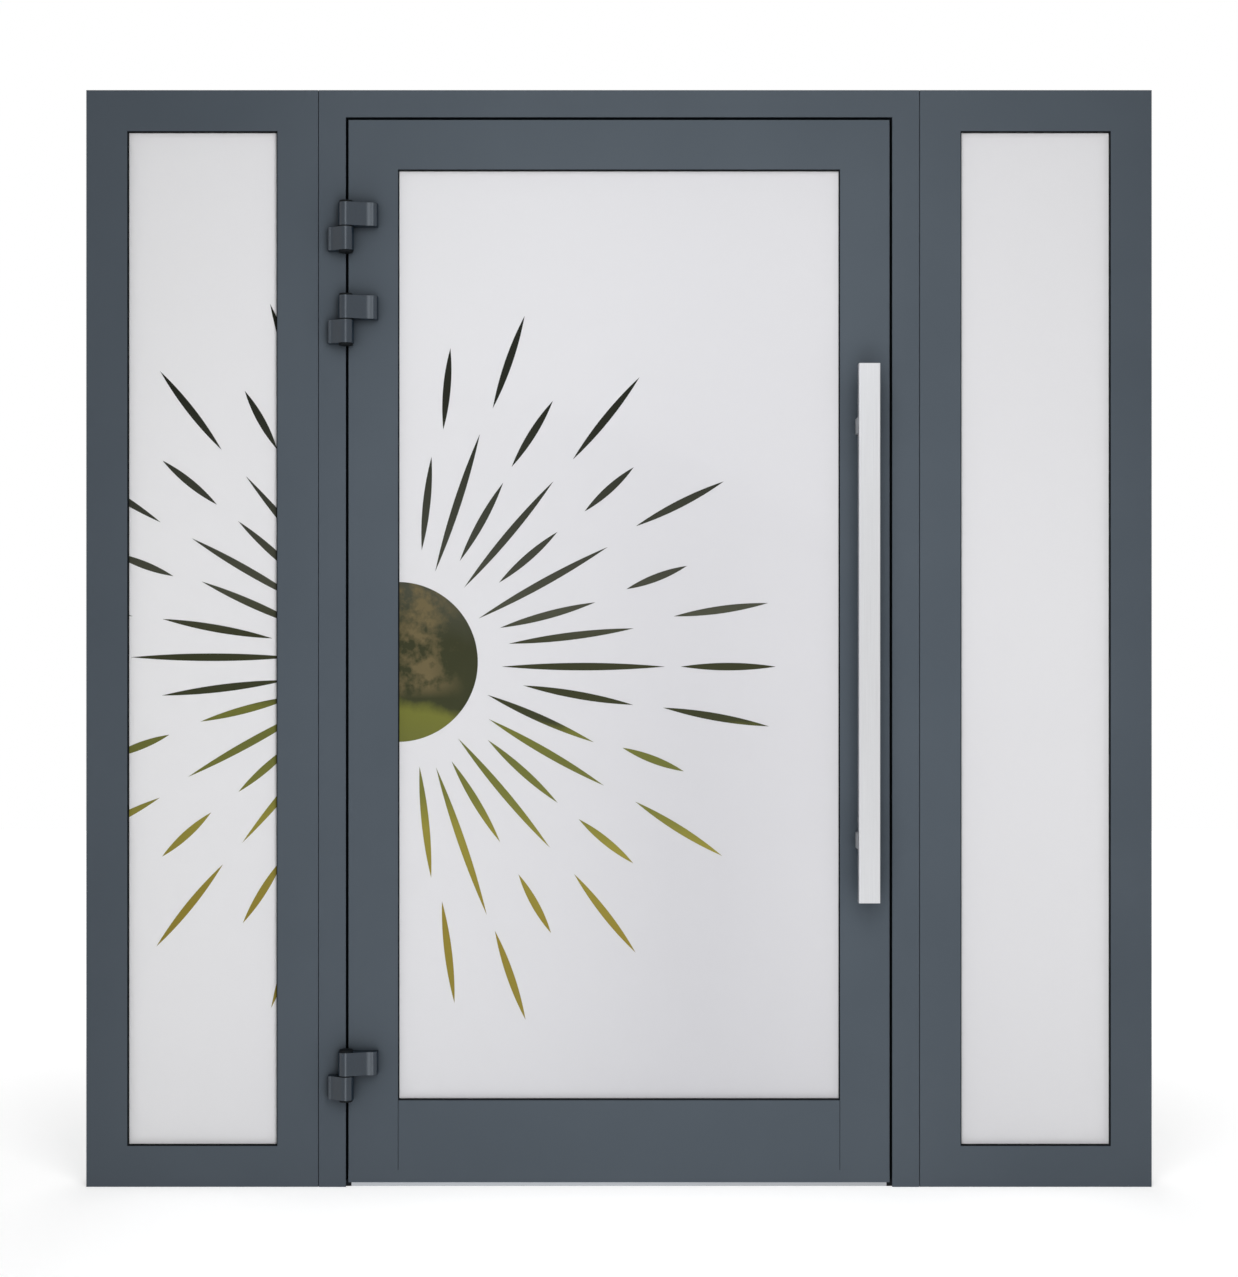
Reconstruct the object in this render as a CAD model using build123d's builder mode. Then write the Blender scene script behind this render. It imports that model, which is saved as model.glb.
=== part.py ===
"""Glazed aluminium entrance door, hung on three barrel hinges between two fixed sidelights.

X runs along the wall, Y from the street face to the room face, and Z up. The origin is on the
floor, in the middle of the threshold and of the frame's depth. All sizes are in millimetres.
"""

import math
import os

from build123d import *

# Overall sizes, and the width of the middle frame that holds the leaf
overall_width = 2040
overall_height = 2100
door_frame_width = 1150
frame_depth = 70

# Faces of the profiles as they show from the street
sidelight_face = 78.5
jamb_face = 52
stile_face = 95
bottom_rail_face = 133
bottom_strip_height = 24
strip_lip = 2
leaf_gap = 5
floor_gap = 9

# Extruded sections: hollow tubes with an insulating break between two metal halves
wall = 2
edge_radius = 1
break_start = 22
break_width = 18
break_recess = 3

# Joint between the door frame and a sidelight, keyed by a plastic strip in the two breaks
coupling_gap = 0.8
coupling_play = 0.3

# The stop behind the leaf, its seal and the threshold
stop_lap = 18
stop_depth = 20
seal_space = 4
seal_width = 11
seal_clearance = 0.3
threshold_height = 12
threshold_stop_height = 20
threshold_setback = 7
threshold_end_width = 10
tread_groove_width = 2
tread_groove_depth = 1
tread_groove_count = 6

# Double glazing, its rubber gaskets and the beads that clip in from the room
rebate_height = 22
leg_thickness = 7
gasket_thickness = 4
gasket_seat = 8
gasket_lip = 1.5
gasket_bevel = 0.5
pane_thickness = 6
cavity_width = 16
pane_edge_clearance = 4
spacer_inset = 3
spacer_width = 8
bead_wall = 2
bead_round = 3
bead_joint_gap = 0.4

# Barrel hinges
hinge_end_offset = 208
hinge_pair_spacing = 177
barrel_diameter = 30
barrel_face_clearance = 1
knuckle_height = 44
leaf_wing_reach = 60
leaf_wing_thickness = 20
leaf_crest_width = 18
leaf_crest_round = 35
leaf_wing_round = 9
frame_wing_reach = 35
frame_wing_thickness = 18
frame_crest_width = 9
frame_crest_round = 12
frame_wing_round = 4
pin_diameter = 14
pin_clearance = 0.05
pin_end_clearance = 1
washer_thickness = 2.5
washer_diameter = 29
cap_thickness = 4
cap_diameter = 27
cap_taper = 12

# Pull bar
bar_length = 1014
bar_width = 40
bar_thickness = 20
bar_edge_radius = 1.5
bar_wall = 2
bar_centre_height = 1060
grip_depth = 55
post_width = 36
post_height = 30
post_edge_radius = 1
post_spacing = 790

# Planes of the depth, from the street to the room
street_face = -frame_depth / 2
room_face = frame_depth / 2
stop_start = frame_depth - stop_depth
leaf_step_depth = stop_start - seal_space
break_end = break_start + break_width
glass_start = leg_thickness + gasket_thickness
glass_end = glass_start + 2 * pane_thickness + cavity_width
bead_start = glass_end + gasket_thickness

# Outlines that follow from the driving sizes
half_width = overall_width / 2
half_door_frame = door_frame_width / 2
half_doorway = half_door_frame - jamb_face
half_leaf = half_doorway - leaf_gap
leaf_top = overall_height - jamb_face - leaf_gap
leaf_bottom = floor_gap
strip_top = leaf_bottom + bottom_strip_height
half_leaf_glass = half_leaf - stile_face
half_bottom_rail = half_leaf_glass + rebate_height
leaf_glass_bottom = strip_top + bottom_rail_face
leaf_glass_top = leaf_top - stile_face
jamb_reach = jamb_face + leaf_gap + stop_lap
half_stop = half_door_frame - jamb_reach
leaf_step = stop_lap + leaf_gap

# Hinge axis, in front of the gap on the left of the leaf
hinge_radius = barrel_diameter / 2
axis_from_face = hinge_radius + barrel_face_clearance
axis_x = -(half_leaf + leaf_gap / 2)
axis_y = street_face - axis_from_face
hinge_heights = {
    "top": leaf_top - hinge_end_offset,
    "upper": leaf_top - hinge_end_offset - hinge_pair_spacing,
    "bottom": leaf_bottom + hinge_end_offset,
}

LEFT = Vector(-1, 0, 0)
RIGHT = Vector(1, 0, 0)
UP = Vector(0, 0, 1)
DOWN = Vector(0, 0, -1)
TO_ROOM = Vector(0, 1, 0)

os.makedirs("parts", exist_ok=True)


def finish(piece, name):
    """Labels a finished piece and writes it under its own name."""
    piece.part.label = name
    export_step(piece.part, f"parts/{name}.step")


# Sections of the extrusions. X is from the outer edge towards the opening, Y from the street.


def outline(*points, square_foot=False):
    """Draws a closed section and rounds its corners on the street and room faces."""
    Polygon(*points, align=None)
    by_depth = vertices().group_by(Axis.Y)
    corners = by_depth[0] + by_depth[-1]
    if square_foot:
        corners -= corners.group_by(Axis.X)[0]
    fillet(corners, radius=edge_radius)


def chamber(start, end, front, back):
    """Cuts one hollow chamber out of a section."""
    with Locations(((start + end) / 2, (front + back) / 2)):
        Rectangle(end - start, back - front, mode=Mode.SUBTRACT)


def tube_chambers(start, end, rear_start):
    """Cuts the street, break and room chambers of a tube between two walls."""
    chamber(start + wall, end - wall, wall, break_start - wall)
    chamber(start + break_recess + wall, end - break_recess - wall, break_start, break_end)
    chamber(rear_start + wall, end - wall, break_end + wall, frame_depth - wall)


def sidelight_section():
    """Frame of a fixed light: a tube with a leg in front of the glass."""
    tube = sidelight_face - rebate_height
    outline(
        (0, 0),
        (sidelight_face, 0),
        (sidelight_face, leg_thickness),
        (tube, leg_thickness),
        (tube, frame_depth),
        (0, frame_depth),
        (0, break_end),
        (break_recess, break_end),
        (break_recess, break_start),
        (0, break_start),
    )
    tube_chambers(0, tube, 0)


def door_frame_section():
    """Frame around the leaf: a tube with a stop behind the leaf."""
    outline(
        (0, 0),
        (jamb_face, 0),
        (jamb_face, break_start),
        (jamb_face - break_recess, break_start),
        (jamb_face - break_recess, break_end),
        (jamb_face, break_end),
        (jamb_face, stop_start),
        (jamb_reach, stop_start),
        (jamb_reach, frame_depth),
        (0, frame_depth),
        (0, break_end),
        (break_recess, break_end),
        (break_recess, break_start),
        (0, break_start),
    )
    tube_chambers(0, jamb_face, 0)
    chamber(jamb_face, jamb_reach - wall, stop_start + wall, frame_depth - wall)


def leaf_section():
    """Stile or top rail: a tube stepped behind for the stop, with a leg in front of the glass."""
    tube = stile_face - rebate_height
    outline(
        (0, 0),
        (stile_face, 0),
        (stile_face, leg_thickness),
        (tube, leg_thickness),
        (tube, frame_depth),
        (leaf_step, frame_depth),
        (leaf_step, leaf_step_depth),
        (0, leaf_step_depth),
        (0, break_end),
        (break_recess, break_end),
        (break_recess, break_start),
        (0, break_start),
    )
    tube_chambers(0, tube, leaf_step)


def bottom_rail_section():
    """Deep rail under the leaf's glass, with the same leg and a square foot on the strip below."""
    tube = bottom_rail_face - rebate_height
    outline(
        (0, 0),
        (bottom_rail_face, 0),
        (bottom_rail_face, leg_thickness),
        (tube, leg_thickness),
        (tube, frame_depth),
        (0, frame_depth),
        square_foot=True,
    )
    tube_chambers(0, tube, 0)


def bead_section():
    """Glazing bead: a channel that is open towards the tube it clips to, rounded in the room."""
    bead_depth = frame_depth - bead_start
    Polygon((0, 0), (rebate_height, 0), (rebate_height, bead_depth), (0, bead_depth), align=None)
    room_corner = vertices().sort_by_distance((rebate_height, bead_depth))[0]
    fillet(room_corner, radius=bead_round)
    chamber(0, rebate_height - bead_wall, bead_wall, bead_depth - bead_wall)


def member(section, corner, inward, length, mitre_start=False, mitre_end=False):
    """Extrudes one bar of a frame from its outer corner, and mitres the ends asked for."""
    along = inward.cross(TO_ROOM)
    with BuildPart() as bar:
        with BuildSketch(Plane(corner, x_dir=inward, z_dir=along)):
            section()
        extrude(amount=length)
        if mitre_start:
            split(bisect_by=Plane(corner, z_dir=along - inward), keep=Keep.TOP)
        if mitre_end:
            split(bisect_by=Plane(corner + along * length, z_dir=-along - inward), keep=Keep.TOP)
    return bar


def facing_room(x, depth, z):
    """Plane whose sketches are extruded from the street towards the room."""
    return Plane((x, street_face + depth, z), x_dir=RIGHT, z_dir=TO_ROOM)


def glazing(name, centre_x, bottom, top, half_opening):
    """Makes the two panes, spacer, gaskets and beads of one light."""
    middle = (bottom + top) / 2
    cover = rebate_height - pane_edge_clearance
    width = 2 * half_opening
    height = top - bottom
    pane_width = width + 2 * cover
    pane_height = height + 2 * cover

    with BuildPart() as outer_pane:
        with BuildSketch(facing_room(centre_x, glass_start, middle)):
            Rectangle(pane_width, pane_height)
        extrude(amount=pane_thickness)
    finish(outer_pane, f"{name}_outer_pane")

    with BuildPart() as inner_pane:
        with BuildSketch(facing_room(centre_x, glass_end - pane_thickness, middle)):
            Rectangle(pane_width, pane_height)
        extrude(amount=pane_thickness)
    finish(inner_pane, f"{name}_inner_pane")

    spacer_outside = cover - spacer_inset
    spacer_inside = spacer_outside - spacer_width
    with BuildPart() as spacer:
        with BuildSketch(facing_room(centre_x, glass_start + pane_thickness, middle)):
            Rectangle(width + 2 * spacer_outside, height + 2 * spacer_outside)
            Rectangle(width + 2 * spacer_inside, height + 2 * spacer_inside, mode=Mode.SUBTRACT)
        extrude(amount=cavity_width)
    finish(spacer, f"{name}_spacer")

    with BuildPart() as gaskets:
        for depth, reach, thickness in (
            (edge_radius, 0, leg_thickness - edge_radius),
            (leg_thickness, gasket_seat, gasket_thickness),
            (glass_end, gasket_seat, gasket_thickness),
        ):
            with BuildSketch(facing_room(centre_x, depth, middle)):
                Rectangle(width + 2 * reach, height + 2 * reach)
                Rectangle(width - 2 * gasket_lip, height - 2 * gasket_lip, mode=Mode.SUBTRACT)
            extrude(amount=thickness)
        by_depth = gaskets.faces().sort_by(Axis.Y)
        for seen_face in (by_depth[0], by_depth[-1]):
            chamfer(seen_face.inner_wires()[0].edges(), length=gasket_bevel)
    finish(gaskets, f"{name}_gaskets")

    left, right = centre_x - half_opening, centre_x + half_opening
    bead_front = street_face + bead_start
    high, low = top + rebate_height, bottom - rebate_height
    outer_left, outer_right = left - rebate_height, right + rebate_height
    full_width = width + 2 * rebate_height
    side_length = height - 2 * bead_joint_gap
    beads = [
        member(bead_section, Vector(outer_left, bead_front, high), DOWN, full_width),
        member(bead_section, Vector(outer_right, bead_front, low), UP, full_width),
        member(bead_section, Vector(outer_left, bead_front, bottom + bead_joint_gap), RIGHT, side_length),
        member(bead_section, Vector(outer_right, bead_front, top - bead_joint_gap), LEFT, side_length),
    ]
    with BuildPart() as bead_set:
        for bead in beads:
            add(bead.part)
    finish(bead_set, f"{name}_beads")


# Fixed sidelights: four mitred bars round each sheet of glass
for name, left, right, outer_side in (
    ("left_sidelight", -half_width, -half_door_frame - coupling_gap, "left"),
    ("right_sidelight", half_door_frame + coupling_gap, half_width, "right"),
):
    width = right - left
    bars = {
        "left": (Vector(left, street_face, 0), RIGHT, overall_height),
        "right": (Vector(right, street_face, overall_height), LEFT, overall_height),
        "head": (Vector(left, street_face, overall_height), DOWN, width),
        "sill": (Vector(right, street_face, 0), UP, width),
    }
    for side, (corner, inward, length) in bars.items():
        sidelight_bar = member(sidelight_section, corner, inward, length, mitre_start=True, mitre_end=True)
        if side in ("left", "right"):
            side = "outer_jamb" if side == outer_side else "inner_jamb"
        finish(sidelight_bar, f"{name}_{side}")
    glazing(
        name,
        (left + right) / 2,
        sidelight_face,
        overall_height - sidelight_face,
        width / 2 - sidelight_face,
    )

# Coupling strips in the recesses between the sidelights and the door frame
with BuildPart() as coupling_strips:
    with BuildSketch(Plane((0, street_face + break_start + break_width / 2, 0))):
        with GridLocations(door_frame_width + coupling_gap, 0, 2, 1):
            Rectangle(coupling_gap + 2 * break_recess, break_width - 2 * coupling_play)
    extrude(amount=overall_height)
finish(coupling_strips, "coupling_strips")

# Door frame: two jambs that stand on the floor, and a head mitred between them
hinge_jamb = member(
    door_frame_section, Vector(-half_door_frame, street_face, 0), RIGHT, overall_height, mitre_end=True
)
finish(hinge_jamb, "hinge_jamb")

lock_jamb = member(
    door_frame_section,
    Vector(half_door_frame, street_face, overall_height),
    LEFT,
    overall_height,
    mitre_start=True,
)
finish(lock_jamb, "lock_jamb")

door_head = member(
    door_frame_section,
    Vector(-half_door_frame, street_face, overall_height),
    DOWN,
    door_frame_width,
    mitre_start=True,
    mitre_end=True,
)
finish(door_head, "door_head")

# Threshold: a ribbed tread in front of a low stop that runs between the jambs' stops
half_tread = half_doorway - threshold_end_width
tread_depth = stop_start - threshold_setback
tread_middle = street_face + threshold_setback + tread_depth / 2
groove_pitch = tread_depth / (tread_groove_count + 1)
with BuildPart() as threshold:
    with BuildSketch(Plane((-half_tread, tread_middle, threshold_height / 2), x_dir=TO_ROOM, z_dir=RIGHT)):
        Rectangle(tread_depth, threshold_height)
        Rectangle(tread_depth - 2 * wall, threshold_height - 2 * wall - tread_groove_depth, mode=Mode.SUBTRACT)
        with Locations((0, (threshold_height - tread_groove_depth) / 2)):
            with GridLocations(groove_pitch, 0, tread_groove_count, 1):
                Rectangle(tread_groove_width, tread_groove_depth, mode=Mode.SUBTRACT)
    extrude(amount=2 * half_tread)
    with BuildSketch(
        Plane((-half_stop, room_face - stop_depth / 2, threshold_stop_height / 2), x_dir=TO_ROOM, z_dir=RIGHT)
    ):
        Rectangle(stop_depth, threshold_stop_height)
        Rectangle(stop_depth - 2 * wall, threshold_stop_height - 2 * wall, mode=Mode.SUBTRACT)
    extrude(amount=2 * half_stop)
finish(threshold, "threshold")

with BuildPart() as threshold_ends:
    with BuildSketch(Plane((0, tread_middle, 0))):
        with GridLocations(2 * (half_doorway - threshold_end_width / 2), 0, 2, 1):
            Rectangle(threshold_end_width, tread_depth)
    extrude(amount=threshold_height)
finish(threshold_ends, "threshold_end_blocks")

# Seal on the stop, round the two jambs and the head
seal_outer = half_stop + seal_width
seal_height = overall_height - jamb_reach + seal_width - threshold_stop_height
seal_plane = Plane(
    (0, street_face + leaf_step_depth + seal_clearance, threshold_stop_height), x_dir=RIGHT, z_dir=-TO_ROOM
)
with BuildPart() as stop_seal:
    with BuildSketch(seal_plane):
        Rectangle(2 * seal_outer, seal_height, align=(Align.CENTER, Align.MIN))
        Rectangle(
            2 * half_stop, seal_height - seal_width, align=(Align.CENTER, Align.MIN), mode=Mode.SUBTRACT
        )
    extrude(amount=-(seal_space - seal_clearance))
finish(stop_seal, "stop_seal")

# Leaf: two stiles and a top rail mitred together, a bottom rail between the stiles
stile_length = leaf_top - strip_top
hinge_stile = member(
    leaf_section, Vector(-half_leaf, street_face, strip_top), RIGHT, stile_length, mitre_end=True
)
finish(hinge_stile, "leaf_hinge_stile")

lock_stile = member(
    leaf_section, Vector(half_leaf, street_face, leaf_top), LEFT, stile_length, mitre_start=True
)
finish(lock_stile, "leaf_lock_stile")

top_rail = member(
    leaf_section,
    Vector(-half_leaf, street_face, leaf_top),
    DOWN,
    2 * half_leaf,
    mitre_start=True,
    mitre_end=True,
)
finish(top_rail, "leaf_top_rail")

rail_bar = member(
    bottom_rail_section, Vector(half_bottom_rail, street_face, strip_top), UP, 2 * half_bottom_rail
)
with BuildPart() as bottom_rail:
    add(rail_bar.part)
    with BuildSketch(Plane((0, street_face, strip_top), x_dir=RIGHT, z_dir=UP)):
        with GridLocations(2 * half_leaf_glass + rebate_height, 0, 2, 1):
            Rectangle(rebate_height, leg_thickness, align=(Align.CENTER, Align.MIN))
    extrude(amount=bottom_rail_face, mode=Mode.SUBTRACT)
    joint_edges = bottom_rail.edges().filter_by(Axis.Z).group_by(Axis.Y)[0]
    chamfer(joint_edges, length=edge_radius)
finish(bottom_rail, "leaf_bottom_rail")

# Hollow strip that closes the foot of the leaf, with a lip that hangs in front of the threshold
strip_underside = threshold_height + leaf_gap
step_underside = threshold_stop_height + leaf_gap
half_leaf_step = half_leaf - leaf_step
with BuildPart() as bottom_strip:
    with BuildSketch(Plane((-half_leaf, street_face, 0), x_dir=TO_ROOM, z_dir=RIGHT)):
        Polygon(
            (0, leaf_bottom),
            (strip_lip, leaf_bottom),
            (strip_lip, strip_underside),
            (leaf_step_depth, strip_underside),
            (leaf_step_depth, strip_top),
            (0, strip_top),
            align=None,
        )
        chamber(wall, leaf_step_depth - wall, strip_underside + wall, strip_top - wall)
    extrude(amount=2 * half_leaf)
    with BuildSketch(Plane((-half_leaf_step, street_face, 0), x_dir=TO_ROOM, z_dir=RIGHT)):
        Polygon(
            (leaf_step_depth, step_underside),
            (frame_depth, step_underside),
            (frame_depth, strip_top),
            (leaf_step_depth, strip_top),
            align=None,
        )
        chamber(leaf_step_depth, frame_depth - wall, step_underside + wall, strip_top - wall)
    extrude(amount=2 * half_leaf_step)
finish(bottom_strip, "leaf_bottom_strip")

glazing("leaf", 0, leaf_glass_bottom, leaf_glass_top, half_leaf_glass)


# Hinges: the lower knuckle is on the jamb and holds the pin, the upper one turns on it with the leaf


def knuckle(start, outward, reach, thickness, crest_width, crest_round, end_round, bore_diameter):
    """Barrel with a wing that leaves it as a tangent, levels out to a crest and rounds off at its end."""
    crest_start = reach - crest_width
    crest_front = axis_from_face - thickness
    span = math.hypot(crest_start, crest_front)
    tangent_angle = math.atan2(crest_front, crest_start) - math.acos(hinge_radius / span)
    tangent_point = Vector(hinge_radius * math.cos(tangent_angle), hinge_radius * math.sin(tangent_angle))
    with BuildPart() as half:
        plan_plane = Plane((axis_x, axis_y, start), x_dir=outward, z_dir=outward.cross(TO_ROOM))
        with BuildSketch(plan_plane) as plan:
            Polygon(
                (0, axis_from_face),
                (0, 0),
                tangent_point,
                (crest_start, crest_front),
                (reach, crest_front),
                (reach, axis_from_face),
                align=None,
            )
            wing_end = plan.vertices().sort_by_distance((reach, crest_front))[0]
            fillet(wing_end, radius=end_round)
            crest = plan.vertices().sort_by_distance((crest_start, crest_front))[0]
            fillet(crest, radius=crest_round)
            Circle(hinge_radius)
            Circle(bore_diameter / 2, mode=Mode.SUBTRACT)
        extrude(amount=knuckle_height)
    return half


half_washer = washer_thickness / 2
for name, height in hinge_heights.items():
    frame_half = knuckle(
        height - half_washer,
        LEFT,
        frame_wing_reach,
        frame_wing_thickness,
        frame_crest_width,
        frame_crest_round,
        frame_wing_round,
        pin_diameter,
    )
    finish(frame_half, f"{name}_hinge_frame_half")
    leaf_half = knuckle(
        height + half_washer,
        RIGHT,
        leaf_wing_reach,
        leaf_wing_thickness,
        leaf_crest_width,
        leaf_crest_round,
        leaf_wing_round,
        pin_diameter + 2 * pin_clearance,
    )
    finish(leaf_half, f"{name}_hinge_leaf_half")

with BuildPart() as hinge_pins:
    for height in hinge_heights.values():
        with BuildSketch(Plane((axis_x, axis_y, height - half_washer - knuckle_height))):
            Circle(pin_diameter / 2)
        extrude(amount=2 * knuckle_height + washer_thickness - pin_end_clearance)
finish(hinge_pins, "hinge_pins")

with BuildPart() as hinge_washers:
    for height in hinge_heights.values():
        with BuildSketch(Plane((axis_x, axis_y, height - half_washer))):
            Circle(washer_diameter / 2)
            Circle(pin_diameter / 2 + pin_clearance, mode=Mode.SUBTRACT)
        extrude(amount=washer_thickness)
finish(hinge_washers, "hinge_washers")


def caps(name, plane_at):
    """Slightly tapered plugs that close one end of each barrel."""
    with BuildPart() as cap_set:
        for height in hinge_heights.values():
            with BuildSketch(plane_at(height)):
                Circle(cap_diameter / 2)
            extrude(amount=cap_thickness, taper=cap_taper)
    finish(cap_set, name)


caps("hinge_bottom_caps", lambda h: Plane((axis_x, axis_y, h - half_washer - knuckle_height), z_dir=DOWN))
caps("hinge_top_caps", lambda h: Plane((axis_x, axis_y, h + half_washer + knuckle_height)))

# Pull bar on two posts, in the middle of the lock stile
bar_x = half_leaf - stile_face / 2
with BuildPart() as posts:
    with BuildSketch(Plane((bar_x, street_face, bar_centre_height), x_dir=RIGHT, z_dir=-TO_ROOM)):
        with GridLocations(0, post_spacing, 1, 2):
            RectangleRounded(post_width, post_height, post_edge_radius)
    extrude(amount=grip_depth)
finish(posts, "pull_bar_posts")

bar_plane = Plane((bar_x, street_face - grip_depth - bar_thickness / 2, bar_centre_height - bar_length / 2))
with BuildPart() as pull_bar:
    with BuildSketch(bar_plane) as bar_tube:
        Rectangle(bar_width, bar_thickness)
        fillet(bar_tube.vertices(), radius=bar_edge_radius)
        Rectangle(bar_width - 2 * bar_wall, bar_thickness - 2 * bar_wall, mode=Mode.SUBTRACT)
    extrude(amount=bar_length)
finish(pull_bar, "pull_bar")

with BuildPart() as bar_ends:
    for height in (0, bar_length - bar_wall):
        with BuildSketch(bar_plane.offset(height)):
            Rectangle(bar_width - 2 * bar_wall, bar_thickness - 2 * bar_wall)
        extrude(amount=bar_wall)
finish(bar_ends, "pull_bar_end_plates")
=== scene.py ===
import math

import bmesh
import bpy
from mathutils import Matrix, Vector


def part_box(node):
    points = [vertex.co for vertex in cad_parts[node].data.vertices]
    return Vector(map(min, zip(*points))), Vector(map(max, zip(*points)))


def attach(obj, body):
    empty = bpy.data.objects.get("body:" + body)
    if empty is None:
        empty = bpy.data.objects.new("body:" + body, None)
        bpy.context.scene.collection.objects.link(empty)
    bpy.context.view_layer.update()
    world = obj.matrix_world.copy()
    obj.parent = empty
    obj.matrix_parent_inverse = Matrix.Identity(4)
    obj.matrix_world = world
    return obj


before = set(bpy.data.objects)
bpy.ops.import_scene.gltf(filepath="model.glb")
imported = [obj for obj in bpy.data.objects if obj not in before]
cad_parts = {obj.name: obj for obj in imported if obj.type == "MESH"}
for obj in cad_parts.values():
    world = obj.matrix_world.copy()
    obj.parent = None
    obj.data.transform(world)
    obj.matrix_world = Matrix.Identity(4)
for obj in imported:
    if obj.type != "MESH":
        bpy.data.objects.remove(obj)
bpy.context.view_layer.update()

# Coated profiles of the frame, the sidelights and the leaf
# Extruded aluminium tubes with a satin anthracite powder coat, most of them mitred at the corners.
# Two black plastic strips in the middle of the depth hold the street and room halves together.
coat_colour = (0.066, 0.081, 0.098, 1)
coat_light = (0.074, 0.090, 0.108, 1)
coat_rough_low = 0.38
coat_rough_high = 0.52
coat_gloss = 0.1
coat_flow_scale = 3.0
coat_grain_scale = 1300.0
coat_peel_scale = 240.0
coat_peel_share = 0.5
coat_relief = 0.00006
painted_shade_reach = 0.08
painted_shade_colour = (0.004, 0.006, 0.008, 1)
strip_colour = (0.006, 0.007, 0.008, 1)
strip_middle = -0.004
strip_half_width = 0.0092


def new_material(name):
    """Starts a node material and returns it with its nodes, its links and its main shader."""
    material = bpy.data.materials.new(name)
    material.use_nodes = True
    tree = material.node_tree
    return material, tree.nodes, tree.links, tree.nodes["Principled BSDF"]


def new_group(name, takes, gives):
    """Starts a node group with named sockets and returns it with its nodes, links, input and output."""
    group = bpy.data.node_groups.new(name, "ShaderNodeTree")
    for socket, kind in takes:
        group.interface.new_socket(socket, in_out="INPUT", socket_type=kind)
    for socket in gives:
        group.interface.new_socket(socket, in_out="OUTPUT", socket_type="NodeSocketFloat")
    nodes = group.nodes
    return group, nodes, group.links, nodes.new("NodeGroupInput"), nodes.new("NodeGroupOutput")


def object_place(nodes):
    """Gives the place on the piece, in metres, that every pattern here is drawn from."""
    return nodes.new("ShaderNodeTexCoord").outputs["Object"]


def placed(nodes, links, group, place):
    """Places a node group in a material and feeds it the place on the piece."""
    node = nodes.new("ShaderNodeGroup")
    node.node_tree = group
    links.new(place, node.inputs["Place"])
    return node


def feed(links, socket, value):
    """Links a socket to a node's output, or sets it to a fixed value."""
    if isinstance(value, bpy.types.NodeSocket):
        links.new(value, socket)
    else:
        socket.default_value = value


def noise(nodes, links, place, scale, detail=2.0, roughness=0.5):
    """Adds a noise pattern of the given scale and returns its strength."""
    texture = nodes.new("ShaderNodeTexNoise")
    feed(links, texture.inputs["Scale"], scale)
    texture.inputs["Detail"].default_value = detail
    texture.inputs["Roughness"].default_value = roughness
    links.new(place, texture.inputs["Vector"])
    return texture.outputs["Fac"]


def spread(nodes, links, value, low, high, start=0.0, end=1.0):
    """Maps a value between two limits to the range from low to high."""
    span = nodes.new("ShaderNodeMapRange")
    span.inputs["From Min"].default_value = start
    span.inputs["From Max"].default_value = end
    span.inputs["To Min"].default_value = low
    span.inputs["To Max"].default_value = high
    links.new(value, span.inputs["Value"])
    return span.outputs["Result"]


def combined(nodes, links, operation, *values):
    """Works out one value from two or three, each a fixed number or a node's output."""
    step = nodes.new("ShaderNodeMath")
    step.operation = operation
    for socket, value in zip(step.inputs, values):
        feed(links, socket, value)
    return step.outputs["Value"]


def blend_colours(nodes, links, share, first, second):
    """Mixes two colours, each a fixed colour or a node's output."""
    mix = nodes.new("ShaderNodeMix")
    mix.data_type = "RGBA"
    links.new(share, mix.inputs["Factor"])
    feed(links, mix.inputs[6], first)
    feed(links, mix.inputs[7], second)
    return mix.outputs[2]


def raised(nodes, links, shader, height, distance, strength):
    """Feeds a height pattern to the shader as fine relief."""
    bump = nodes.new("ShaderNodeBump")
    bump.inputs["Distance"].default_value = distance
    bump.inputs["Strength"].default_value = strength
    links.new(height, bump.inputs["Height"])
    links.new(bump.outputs["Normal"], shader.inputs["Normal"])


def powder_group():
    """Builds the grain of the powder coat: its tone, its unevenness and its fine relief."""
    group, nodes, links, given, out = new_group(
        "powder_grain", (("Place", "NodeSocketVector"),), ("Tone", "Grain", "Height")
    )
    place = given.outputs["Place"]
    flow = noise(nodes, links, place, coat_flow_scale, detail=3.0)
    grain = noise(nodes, links, place, coat_grain_scale, detail=2.0, roughness=0.6)
    peel = noise(nodes, links, place, coat_peel_scale, detail=1.0)
    links.new(spread(nodes, links, flow, 0.0, 1.0, start=0.3, end=0.7), out.inputs["Tone"])
    links.new(spread(nodes, links, grain, 0.0, 1.0, start=0.25, end=0.75), out.inputs["Grain"])
    relief = combined(nodes, links, "MULTIPLY_ADD", peel, coat_peel_share, grain)
    links.new(relief, out.inputs["Height"])
    return group


powder_grain = powder_group()


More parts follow.
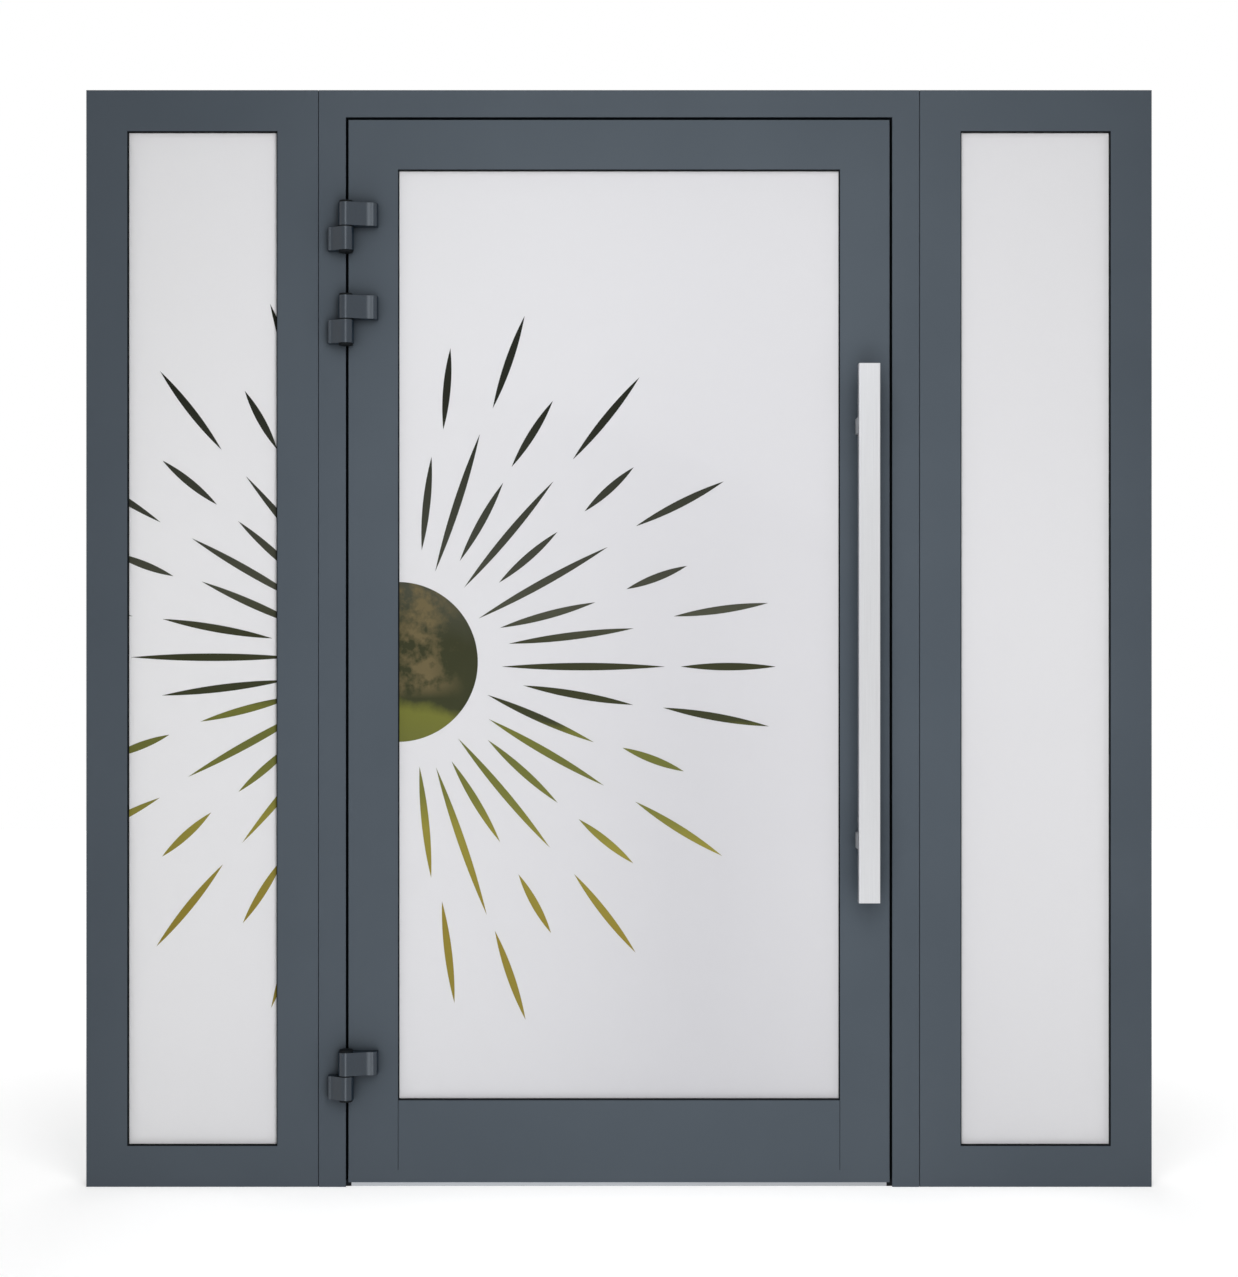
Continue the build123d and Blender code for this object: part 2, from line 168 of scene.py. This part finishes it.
def coated(name, colour, light, rough_low, rough_high, gloss, with_strip=False):
    """Makes a powder coat with painted shade that darkens it in the creases, with or without the plastic
    strip in the recesses.
    """
    material, nodes, links, shader = new_material(name)
    place = object_place(nodes)
    grain = placed(nodes, links, powder_grain, place)
    colour = blend_colours(nodes, links, grain.outputs["Tone"], colour, light)
    # Painted shade: the coat is darkened towards near black wherever ambient occlusion finds other parts
    # close by, as beside the hinges, beside the pull bar and in the gaps.
    shade_openness = nodes.new("ShaderNodeAmbientOcclusion")
    shade_openness.inputs["Distance"].default_value = painted_shade_reach
    colour = blend_colours(nodes, links, shade_openness.outputs["AO"], painted_shade_colour, colour)
    if with_strip:
        depth = nodes.new("ShaderNodeSeparateXYZ")
        links.new(place, depth.inputs["Vector"])
        inside = combined(nodes, links, "COMPARE", depth.outputs["Y"], strip_middle, strip_half_width)
        colour = blend_colours(nodes, links, inside, colour, strip_colour)
    links.new(colour, shader.inputs["Base Color"])
    roughness = spread(nodes, links, grain.outputs["Grain"], rough_low, rough_high)
    links.new(roughness, shader.inputs["Roughness"])
    shader.inputs["Specular IOR Level"].default_value = gloss
    raised(nodes, links, shader, grain.outputs["Height"], coat_relief, strength=0.6)
    return material


def dress(material, *names):
    """Puts a material on CAD nodes by name."""
    for name in names:
        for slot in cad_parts[name].material_slots:
            slot.material = material


coated_profile = coated(
    "coated_profile",
    coat_colour,
    coat_light,
    coat_rough_low,
    coat_rough_high,
    coat_gloss,
    with_strip=True,
)
for sidelight in ("left_sidelight", "right_sidelight"):
    bars = ("outer_jamb", "inner_jamb", "head", "sill")
    dress(coated_profile, *(f"{sidelight}_{bar}" for bar in bars))
dress(coated_profile, "hinge_jamb", "lock_jamb", "door_head")
dress(coated_profile, "leaf_hinge_stile", "leaf_lock_stile", "leaf_top_rail", "leaf_bottom_rail")

# Glazing beads and the strip at the leaf's foot
# Thin aluminium sections with the same coat. The beads clip into the profiles from the room side
# and hold the glass, and the strip closes the foot of the leaf.
# Like the profiles, this coat has painted shade that darkens it in the creases.
coated_trim = coated(
    "coated_trim", coat_colour, coat_light, coat_rough_low, coat_rough_high, coat_gloss
)
dress(coated_trim, "leaf_beads", "left_sidelight_beads", "right_sidelight_beads", "leaf_bottom_strip")

# Street panes
# Float glass 6 mm thick with an etched, milky face. It lets light through but no picture. Its tone is
# darkest low in the leaf, right of the middle, and drifts lighter away from there towards the sides,
# where the front lamp gives less light: painted light that evens out the lamp's fall-off. A faint
# cloud on top makes the tone uneven.
frost_light = (0.900, 0.896, 0.910, 1)
frost_dark = (0.612, 0.609, 0.636, 1)
frost_centre_x = 0.15
frost_centre_z = 0.55
frost_rise = 0.25
frost_near = 0.05
frost_far = 1.1
frost_cloud = 0.1
frost_cloud_scale = 1.1
frost_passage = 0.2
etch_scale = 2200.0
etch_rough_low = 0.3
etch_rough_high = 0.42
etch_relief = 0.00003
glass_ior = 1.5
frosted, nodes, links, shader = new_material("frosted_pane")
place = object_place(nodes)
from_centre = nodes.new("ShaderNodeMapping")
from_centre.inputs["Location"].default_value = (-frost_centre_x, 0, -frost_centre_z * frost_rise)
from_centre.inputs["Scale"].default_value = (1, 0, frost_rise)
links.new(place, from_centre.inputs["Vector"])
# Painted light: the glass gets lighter with distance from its darkest spot, which offsets the front
# lamp's fall-off. The cloud only adds random unevenness.
centre_distance = nodes.new("ShaderNodeVectorMath")
centre_distance.operation = "LENGTH"
links.new(from_centre.outputs["Vector"], centre_distance.inputs[0])
cloud = noise(nodes, links, place, frost_cloud_scale, detail=1.0)
drift = combined(
    nodes, links, "MULTIPLY_ADD", cloud, frost_cloud, centre_distance.outputs["Value"]
)
cloud_middle = frost_cloud / 2
painted_light_and_cloud = spread(
    nodes, links, drift, 0.0, 1.0, start=frost_near + cloud_middle, end=frost_far + cloud_middle
)
frost_tone = blend_colours(nodes, links, painted_light_and_cloud, frost_dark, frost_light)
links.new(frost_tone, shader.inputs["Base Color"])
etch = noise(nodes, links, place, etch_scale, detail=2.0)
etch_roughness = spread(nodes, links, etch, etch_rough_low, etch_rough_high)
links.new(etch_roughness, shader.inputs["Roughness"])
raised(nodes, links, shader, etch, etch_relief, strength=0.5)
shader.inputs["Transmission Weight"].default_value = frost_passage
shader.inputs["IOR"].default_value = glass_ior
dress(frosted, "leaf_outer_pane", "left_sidelight_outer_pane", "right_sidelight_outer_pane")

# Room panes
# Clear float glass, faintly green, behind a dry air gap. The spacer bars keep it apart from the
# street pane.
clear_tint = (0.93, 0.97, 0.955, 1)
clear_tint_pale = (0.95, 0.975, 0.965, 1)
clear_wave_scale = 6.0
clear_rough_low = 0.01
clear_rough_high = 0.03
clear, nodes, links, shader = new_material("clear_pane")
wave = noise(nodes, links, object_place(nodes), clear_wave_scale, detail=1.0)
tint = blend_colours(nodes, links, wave, clear_tint, clear_tint_pale)
links.new(tint, shader.inputs["Base Color"])
wave_roughness = spread(nodes, links, wave, clear_rough_low, clear_rough_high)
links.new(wave_roughness, shader.inputs["Roughness"])
shader.inputs["Transmission Weight"].default_value = 1.0
shader.inputs["IOR"].default_value = glass_ior
dress(clear, "leaf_inner_pane", "left_sidelight_inner_pane", "right_sidelight_inner_pane")

# Edge spacers, gaskets and the seal on the stop
# Grey spacer bars are glued between the panes. Black rubber gaskets press on both sides of the
# glass, and a softer seal runs round the stop behind the leaf.


def grain_group():
    """Builds the fine two-tone grain of rubber, plastic and spacer bars."""
    group, nodes, links, given, out = new_group(
        "fine_grain", (("Place", "NodeSocketVector"), ("Scale", "NodeSocketFloat")), ("Tone", "Grain")
    )
    place, scale = given.outputs["Place"], given.outputs["Scale"]
    grain = noise(nodes, links, place, scale, detail=3.0, roughness=0.6)
    links.new(spread(nodes, links, grain, 0.0, 1.0, start=0.3, end=0.7), out.inputs["Tone"])
    links.new(grain, out.inputs["Grain"])
    return group


fine_grain = grain_group()


def matt(name, first, second, scale, rough_low, rough_high, gloss, relief):
    """Makes a matt finish with a fine two-tone grain."""
    material, nodes, links, shader = new_material(name)
    grain = placed(nodes, links, fine_grain, object_place(nodes))
    grain.inputs["Scale"].default_value = scale
    colour = blend_colours(nodes, links, grain.outputs["Tone"], first, second)
    links.new(colour, shader.inputs["Base Color"])
    roughness = spread(nodes, links, grain.outputs["Grain"], rough_low, rough_high)
    links.new(roughness, shader.inputs["Roughness"])
    shader.inputs["Specular IOR Level"].default_value = gloss
    raised(nodes, links, shader, grain.outputs["Grain"], relief, strength=0.7)
    return material


rubber = matt(
    "gasket_rubber",
    (0.002, 0.003, 0.004, 1),
    (0.005, 0.006, 0.007, 1),
    scale=900.0,
    rough_low=0.7,
    rough_high=0.9,
    gloss=0.1,
    relief=0.00005,
)
dress(rubber, "leaf_gaskets", "left_sidelight_gaskets", "right_sidelight_gaskets", "stop_seal")
spacer = matt(
    "edge_spacer",
    (0.17, 0.18, 0.19, 1),
    (0.23, 0.24, 0.25, 1),
    scale=500.0,
    rough_low=0.45,
    rough_high=0.6,
    gloss=0.4,
    relief=0.00003,
)
dress(spacer, "leaf_spacer", "left_sidelight_spacer", "right_sidelight_spacer")

# Sunburst in the glass
# A half sun is left clear in the frosted face of the leaf. Its rays are thin pointed blades, two to
# a ray, about every ten degrees, and the left sidelight has the same rays turned half round.
sun_x = -0.4245
sun_z = 1.005
sun_radius = 0.1535
sun_segments = 128
film_depth = 0.0003
ray_drop = 0.009
ray_segments = 16
ray_width = 0.0145
column_reach = 0.001
merge_distance = 0.0001
# One row for each ray: its angle, then the tilt, start and end of its inner and of its outer blade
ray_rows = (
    (80, 84, 0.228, 0.408, 85, 0.463, 0.620),
    (70, 72, 0.196, 0.474, 71, 0.528, 0.716),
    (60, 61, 0.235, 0.407, 58, 0.441, 0.591),
    (50, 50, 0.198, 0.465, 51, 0.520, 0.724),
    (40, 41, 0.252, 0.401, 42, 0.466, 0.593),
    (30, 29, 0.180, 0.464, 27, 0.530, 0.720),
    (19, 15, 0.209, 0.399, 21, 0.463, 0.588),
    (10, 7, 0.217, 0.459, 8, 0.538, 0.721),
    (0, 0, 0.199, 0.513, 0, 0.543, 0.726),
    (-9, -10, 0.243, 0.458, -10, 0.515, 0.722),
    (-20, -24, 0.180, 0.404, -21, 0.458, 0.585),
    (-30, -30, 0.201, 0.457, -32, 0.524, 0.721),
    (-40, -42, 0.223, 0.403, -39, 0.454, 0.589),
    (-50, -50, 0.180, 0.454, -52, 0.522, 0.714),
    (-60, -59, 0.209, 0.390, -61, 0.461, 0.590),
    (-70, -71, 0.207, 0.506, -71, 0.540, 0.721),
    (-80, -84, 0.196, 0.411, -83, 0.458, 0.655),
)
# The figure's tones go by height, from its foot to its top, with a gold mottle on the disc
figure_low = 0.30
figure_high = 1.72
foot_tone = (0.245, 0.200, 0.036, 1)
top_tone = (0.015, 0.016, 0.011, 1)
height_tones = (
    (0.550, (0.250, 0.195, 0.034, 1)),
    (0.725, (0.256, 0.226, 0.044, 1)),
    (0.790, (0.164, 0.166, 0.040, 1)),
    (0.880, (0.132, 0.139, 0.037, 1)),
    (0.940, (0.148, 0.154, 0.035, 1)),
    (0.966, (0.042, 0.045, 0.023, 1)),
    (1.080, (0.040, 0.042, 0.022, 1)),
    (1.170, (0.063, 0.065, 0.046, 1)),
    (1.270, (0.049, 0.050, 0.038, 1)),
    (1.370, (0.040, 0.042, 0.031, 1)),
    (1.540, (0.020, 0.021, 0.015, 1)),
)
mottle_scale = 16.0
mottle_rise = 0.05
lean_rise = 0.05
lean_width = 0.3
gold_tone = (0.135, 0.108, 0.055, 1)
gold_scale = 22.0
gold_left = (sun_x - 0.2, sun_x - 0.18)
gold_right = (sun_x + 0.06, sun_x + 0.13)
gold_foot = (0.935, 0.96)
gold_top = (sun_z + 0.155, sun_z + 0.165)
figure_rough_low = 0.1
figure_rough_high = 0.2
figure_gloss = 0.02


def band(nodes, links, value, rise, fall):
    """Makes a mask that rises between two values and falls between two others."""
    risen = spread(nodes, links, value, 0.0, 1.0, start=rise[0], end=rise[1])
    fallen = spread(nodes, links, value, 1.0, 0.0, start=fall[0], end=fall[1])
    return combined(nodes, links, "MULTIPLY", risen, fallen)


clear_figure, nodes, links, shader = new_material("clear_figure")
place = object_place(nodes)
figure_place = nodes.new("ShaderNodeSeparateXYZ")
links.new(place, figure_place.inputs["Vector"])
across, upward = figure_place.outputs["X"], figure_place.outputs["Z"]
mottle = noise(nodes, links, place, mottle_scale, detail=5.0, roughness=0.6)
uneven = combined(nodes, links, "ADD", upward, combined(nodes, links, "MULTIPLY", mottle, mottle_rise))
lean = spread(nodes, links, across, 0.0, lean_rise, start=sun_x, end=sun_x + lean_width)
level = combined(nodes, links, "ADD", uneven, lean)
tones = nodes.new("ShaderNodeValToRGB")
stops = tones.color_ramp.elements
stops[0].position, stops[0].color = 0.0, foot_tone
stops[1].position, stops[1].color = 1.0, top_tone
for tone_height, tone in height_tones:
    stop = stops.new((tone_height - figure_low) / (figure_high - figure_low))
    stop.color = tone
level_share = spread(nodes, links, level, 0.0, 1.0, start=figure_low, end=figure_high)
links.new(level_share, tones.inputs["Fac"])
flecks = noise(nodes, links, place, gold_scale, detail=4.0, roughness=0.6)
gold_flecks = spread(nodes, links, flecks, 0.0, 1.0, start=0.44, end=0.6)
on_disc = band(nodes, links, across, gold_left, gold_right)
in_height = band(nodes, links, upward, gold_foot, gold_top)
gold_place = combined(nodes, links, "MULTIPLY", on_disc, in_height)
gold_share = combined(nodes, links, "MULTIPLY", gold_flecks, gold_place)
figure_colour = blend_colours(nodes, links, gold_share, tones.outputs["Color"], gold_tone)
links.new(figure_colour, shader.inputs["Base Color"])
figure_roughness = spread(nodes, links, mottle, figure_rough_low, figure_rough_high)
links.new(figure_roughness, shader.inputs["Roughness"])
shader.inputs["Specular IOR Level"].default_value = figure_gloss


def select_only(piece):
    """Leaves one piece selected and active."""
    bpy.ops.object.select_all(action="DESELECT")
    piece.select_set(True)
    bpy.context.view_layer.objects.active = piece


def pick(piece, rule):
    """Selects the vertices of the piece in edit mode whose place meets the rule."""
    mesh = bmesh.from_edit_mesh(piece.data)
    for vertex in mesh.verts:
        vertex.select = rule(vertex.co)
    mesh.select_flush_mode()
    bmesh.update_edit_mesh(piece.data)


def ray_blade():
    """Models one blade, 1 m long and 1 m wide, flat in the plane of the glass."""
    bpy.ops.object.select_all(action="DESELECT")
    bpy.ops.mesh.primitive_grid_add(x_subdivisions=ray_segments, y_subdivisions=1, size=1)
    blade = bpy.context.object
    bpy.ops.object.mode_set(mode="EDIT")
    bpy.ops.mesh.select_mode(type="VERT")
    columns = sorted({round(vertex.co.x, 4) for vertex in blade.data.vertices})
    for column in columns:
        pick(blade, lambda co: abs(co.x - column) < column_reach)
        width = max(1 - (2 * column) ** 2, 0.0)
        bpy.ops.transform.resize(value=(1, width, 1), center_override=(column, 0, 0))
    bpy.ops.mesh.select_all(action="SELECT")
    bpy.ops.mesh.remove_doubles(threshold=merge_distance)
    bpy.ops.mesh.extrude_region_move(TRANSFORM_OT_translate={"value": (0, 0, film_depth)})
    bpy.ops.object.mode_set(mode="OBJECT")
    blade.rotation_euler.x = math.radians(90)
    bpy.ops.object.transform_apply(location=False, rotation=True, scale=False)
    return blade


def ray_places(turn):
    """Lists the angle, tilt, start and end of every blade, after a turn about the sun."""
    for angle, inner_tilt, inner_start, inner_end, outer_tilt, outer_start, outer_end in ray_rows:
        yield math.radians(angle + turn), math.radians(inner_tilt + turn), inner_start, inner_end
        yield math.radians(angle + turn), math.radians(outer_tilt + turn), outer_start, outer_end


def sunburst(name, blade, body, pane, turn, gasket_edge, face):
    """Lays the sun on one face of a pane, cut where the gaskets cover it."""
    low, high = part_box(pane)
    pane_y = low[1] if face == "street" else high[1] + film_depth
    rays_z = sun_z - ray_drop * math.cos(math.radians(turn))
    copies = []
    for angle, tilt, start, end in ray_places(turn):
        middle = (start + end) / 2
        copy = bpy.data.objects.new(f"{name}_ray", blade.data.copy())
        bpy.context.collection.objects.link(copy)
        copy.location = (sun_x + middle * math.cos(angle), pane_y, rays_z + middle * math.sin(angle))
        copy.rotation_euler.y = -tilt
        copy.scale = (end - start, 1, ray_width)
        copies.append(copy)
    bpy.ops.object.select_all(action="DESELECT")
    bpy.ops.mesh.primitive_circle_add(vertices=sun_segments, radius=sun_radius, fill_type="NGON")
    disc = bpy.context.object
    bpy.ops.object.mode_set(mode="EDIT")
    bpy.ops.mesh.select_all(action="SELECT")
    bpy.ops.mesh.extrude_region_move(TRANSFORM_OT_translate={"value": (0, 0, film_depth)})
    bpy.ops.object.mode_set(mode="OBJECT")
    disc.rotation_euler.x = math.radians(90)
    disc.location = (sun_x, pane_y, sun_z)
    for copy in copies:
        copy.select_set(True)
    bpy.ops.object.transform_apply(location=True, rotation=True, scale=True)
    bpy.ops.object.join()
    disc.name = name
    left, right = low[0] + gasket_edge, high[0] - gasket_edge
    bpy.ops.object.mode_set(mode="EDIT")
    for edge, outward in ((left, -1), (right, 1)):
        bpy.ops.mesh.select_all(action="SELECT")
        bpy.ops.mesh.bisect(
            plane_co=(edge, 0, 0), plane_no=(outward, 0, 0), use_fill=True, clear_outer=True
        )
    bpy.ops.mesh.select_all(action="SELECT")
    bpy.ops.mesh.normals_make_consistent(inside=False)
    bpy.ops.object.mode_set(mode="OBJECT")
    disc.data.materials.clear()
    disc.data.materials.append(clear_figure)
    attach(disc, body)


pane_cover = 0.018
gasket_lip = 0.0015
gasket_edge = pane_cover + gasket_lip
half_turn = 180
blade = ray_blade()
for face in ("street", "room"):
    sunburst(f"leaf_sun_{face}", blade, "leaf", "leaf_outer_pane", 0, gasket_edge, face)
    sunburst(
        f"sidelight_sun_{face}", blade, "frame", "left_sidelight_outer_pane", half_turn, gasket_edge, face
    )
select_only(blade)
bpy.ops.object.delete()

# Threshold
# An anodised aluminium section with a ribbed tread, screwed to the floor, and a black plastic block
# at each end where it meets the jambs. The strips that couple the frames are the same plastic.
metal_relief = 0.00002


def lines_group():
    """Builds the fine lines that drawing or brushing leaves in bare metal."""
    group, nodes, links, given, out = new_group(
        "drawn_lines",
        (("Place", "NodeSocketVector"), ("Stretch", "NodeSocketVector")),
        ("Tone", "Lines"),
    )
    along = nodes.new("ShaderNodeVectorMath")
    along.operation = "MULTIPLY"
    links.new(given.outputs["Place"], along.inputs[0])
    links.new(given.outputs["Stretch"], along.inputs[1])
    lines = noise(nodes, links, along.outputs["Vector"], 1.0, detail=4.0, roughness=0.65)
    links.new(spread(nodes, links, lines, 0.0, 1.0, start=0.3, end=0.7), out.inputs["Tone"])
    links.new(lines, out.inputs["Lines"])
    return group


drawn_lines = lines_group()


def drawn_metal(name, first, second, stretch, rough_low, rough_high):
    """Makes a bare metal with fine lines along the way it was drawn or brushed."""
    material, nodes, links, shader = new_material(name)
    lines = placed(nodes, links, drawn_lines, object_place(nodes))
    lines.inputs["Stretch"].default_value = stretch
    colour = blend_colours(nodes, links, lines.outputs["Tone"], first, second)
    links.new(colour, shader.inputs["Base Color"])
    roughness = spread(nodes, links, lines.outputs["Lines"], rough_low, rough_high)
    links.new(roughness, shader.inputs["Roughness"])
    raised(nodes, links, shader, lines.outputs["Lines"], metal_relief, strength=0.5)
    shader.inputs["Metallic"].default_value = 1.0
    return material


tread = drawn_metal(
    "anodised_tread",
    (0.33, 0.34, 0.355, 1),
    (0.40, 0.41, 0.425, 1),
    stretch=(5, 900, 900),
    rough_low=0.35,
    rough_high=0.5,
)
dress(tread, "threshold")
black_plastic = matt(
    "black_plastic",
    (0.002, 0.003, 0.004, 1),
    (0.006, 0.007, 0.008, 1),
    scale=700.0,
    rough_low=0.55,
    rough_high=0.75,
    gloss=0.12,
    relief=0.00004,
)
dress(black_plastic, "threshold_end_blocks", "coupling_strips")

# Barrel hinges
# Extruded halves with a darker, glossier coat are screwed to the jamb and the leaf and turn on steel
# pins. Black plastic washers lie between the knuckles, and black caps close the ends.
hinges = ("top", "upper", "bottom")
# The hinge coat also has the painted shade that darkens it in the creases.
hinge_coat = coated(
    "hinge_coat",
    (0.005, 0.013, 0.023, 1),
    (0.007, 0.016, 0.027, 1),
    rough_low=0.2,
    rough_high=0.27,
    gloss=0.6,
)
for half in ("frame_half", "leaf_half"):
    dress(hinge_coat, *(f"{hinge}_hinge_{half}" for hinge in hinges))
dress(black_plastic, "hinge_washers", "hinge_bottom_caps", "hinge_top_caps")

# Pull bar
# A stainless steel tube of 40 by 20 mm, brushed along its length and closed by end plates. It stands
# on two square posts with an even satin finish. The pins of the hinges are the same brushed steel.
brushed = drawn_metal(
    "brushed_steel",
    (0.575, 0.575, 0.585, 1),
    (0.66, 0.66, 0.67, 1),
    stretch=(1400, 1400, 6),
    rough_low=0.26,
    rough_high=0.4,
)
dress(brushed, "pull_bar", "pull_bar_end_plates", "hinge_pins")
satin = drawn_metal(
    "satin_steel",
    (0.49, 0.50, 0.515, 1),
    (0.565, 0.575, 0.59, 1),
    stretch=(700, 700, 700),
    rough_low=0.5,
    rough_high=0.62,
)
dress(satin, "pull_bar_posts")

# Studio
# A pale floor in a white surround, a soft lamp in front, another behind, and two that only show in
# the gloss. The camera stands level with the middle of the door and looks straight at it.
floor_size = 14
floor_tone = (0.86, 0.86, 0.86, 1)
floor_pale = (0.88, 0.88, 0.88, 1)
floor_grain_scale = 40.0
floor_roughness = 0.8
floor_gloss = 0.1
white = (1, 1, 1, 1)
near_glow = 0.56
far_glow = 0.95
near_edge = 1.2
far_edge = 3.5
floor_bounce = 0.45
surround_bounce = 0.18
bpy.ops.object.select_all(action="DESELECT")
bpy.ops.mesh.primitive_plane_add(size=floor_size, location=(0, 0, 0))
floor = bpy.context.object
floor.name = "floor"
# The floor takes the door's shadow, but it isn't mirrored in the gloss and doesn't count for the painted
# crease shade above it
floor.visible_glossy = False
floor.visible_shadow = False
pale, nodes, links, shader = new_material("pale_floor")
floor_grain = noise(nodes, links, object_place(nodes), floor_grain_scale, detail=2.0)
floor_colour = blend_colours(nodes, links, floor_grain, floor_tone, floor_pale)
links.new(floor_colour, shader.inputs["Base Color"])
shader.inputs["Roughness"].default_value = floor_roughness
shader.inputs["Specular IOR Level"].default_value = floor_gloss


def seen_directly(nodes, links, bounced):
    """Gives 1 to what is seen, mirrored or seen through glass, and a smaller value to other light."""
    path = nodes.new("ShaderNodeLightPath")
    either = path.outputs["Is Camera Ray"]
    for other in ("Is Glossy Ray", "Is Transmission Ray"):
        either = combined(nodes, links, "MAXIMUM", either, path.outputs[other])
    return spread(nodes, links, either, bounced, 1.0)


floor_distance = nodes.new("ShaderNodeVectorMath")
floor_distance.operation = "LENGTH"
links.new(object_place(nodes), floor_distance.inputs[0])
glow = spread(
    nodes, links, floor_distance.outputs["Value"], near_glow, far_glow, start=near_edge, end=far_edge
)
shown = combined(nodes, links, "MULTIPLY", seen_directly(nodes, links, floor_bounce), glow)
links.new(shown, shader.inputs["Emission Strength"])
shader.inputs["Emission Color"].default_value = white
floor.data.materials.append(pale)

world = bpy.data.worlds.new("studio")
bpy.context.scene.world = world
world.use_nodes = True
nodes, links = world.node_tree.nodes, world.node_tree.links
surround = nodes["Background"]
surround.inputs["Color"].default_value = white
links.new(seen_directly(nodes, links, surround_bounce), surround.inputs["Strength"])


def softbox(name, place, aim, width, height, power, mirrored):
    """Hangs a soft lamp that faces a point. It either lights the door or only shows in its gloss."""
    bpy.ops.object.light_add(type="AREA", location=place)
    lamp = bpy.context.object
    lamp.name = name
    lamp.data.shape = "RECTANGLE"
    lamp.data.size = width
    lamp.data.size_y = height
    lamp.data.energy = power
    lamp.visible_camera = False
    lamp.visible_transmission = False
    lamp.visible_glossy = mirrored
    lamp.visible_diffuse = not mirrored
    offset = [b - a for a, b in zip(place, aim)]
    tilt = math.atan2(math.hypot(offset[0], offset[1]), -offset[2])
    lamp.rotation_euler = (tilt, 0, math.atan2(-offset[0], offset[1]))
    return lamp


softbox(
    "front_lamp",
    place=(0.18, -1.9, 1.2),
    aim=(0.1, 0, 0.8),
    width=1.2,
    height=3.0,
    power=41.5,
    mirrored=False,
)
softbox(
    "back_lamp",
    place=(0.0, 2.4, 1.6),
    aim=(0.0, 0, 1.0),
    width=2.4,
    height=2.6,
    power=34,
    mirrored=False,
)
glint_colour = (0.86, 0.93, 1.0)
for name, glint_z, glint_height, glint_power in (
    ("upper_glint", 2.7, 1.1, 17),
    ("lower_glint", -0.8, 0.9, 14),
):
    glint = softbox(
        name,
        place=(-0.4, -4.6, glint_z),
        aim=(-0.5, 0, glint_z),
        width=1.6,
        height=glint_height,
        power=glint_power,
        mirrored=True,
    )
    glint.data.color = glint_colour

photo_height = 1277
metres_per_pixel = 0.0019143
sensor_height = 36
distance = 3.8
middle_height = 1.05
street_face = -0.035
camera = bpy.data.objects.new("camera", bpy.data.cameras.new("camera"))
bpy.context.collection.objects.link(camera)
camera.location = (0, street_face - distance, middle_height)
camera.rotation_euler = (math.radians(90), 0, 0)
camera.data.sensor_fit = "VERTICAL"
camera.data.sensor_height = sensor_height
camera.data.lens = sensor_height * distance / (photo_height * metres_per_pixel)
bpy.context.scene.camera = camera
bpy.context.scene.view_settings.view_transform = "Standard"
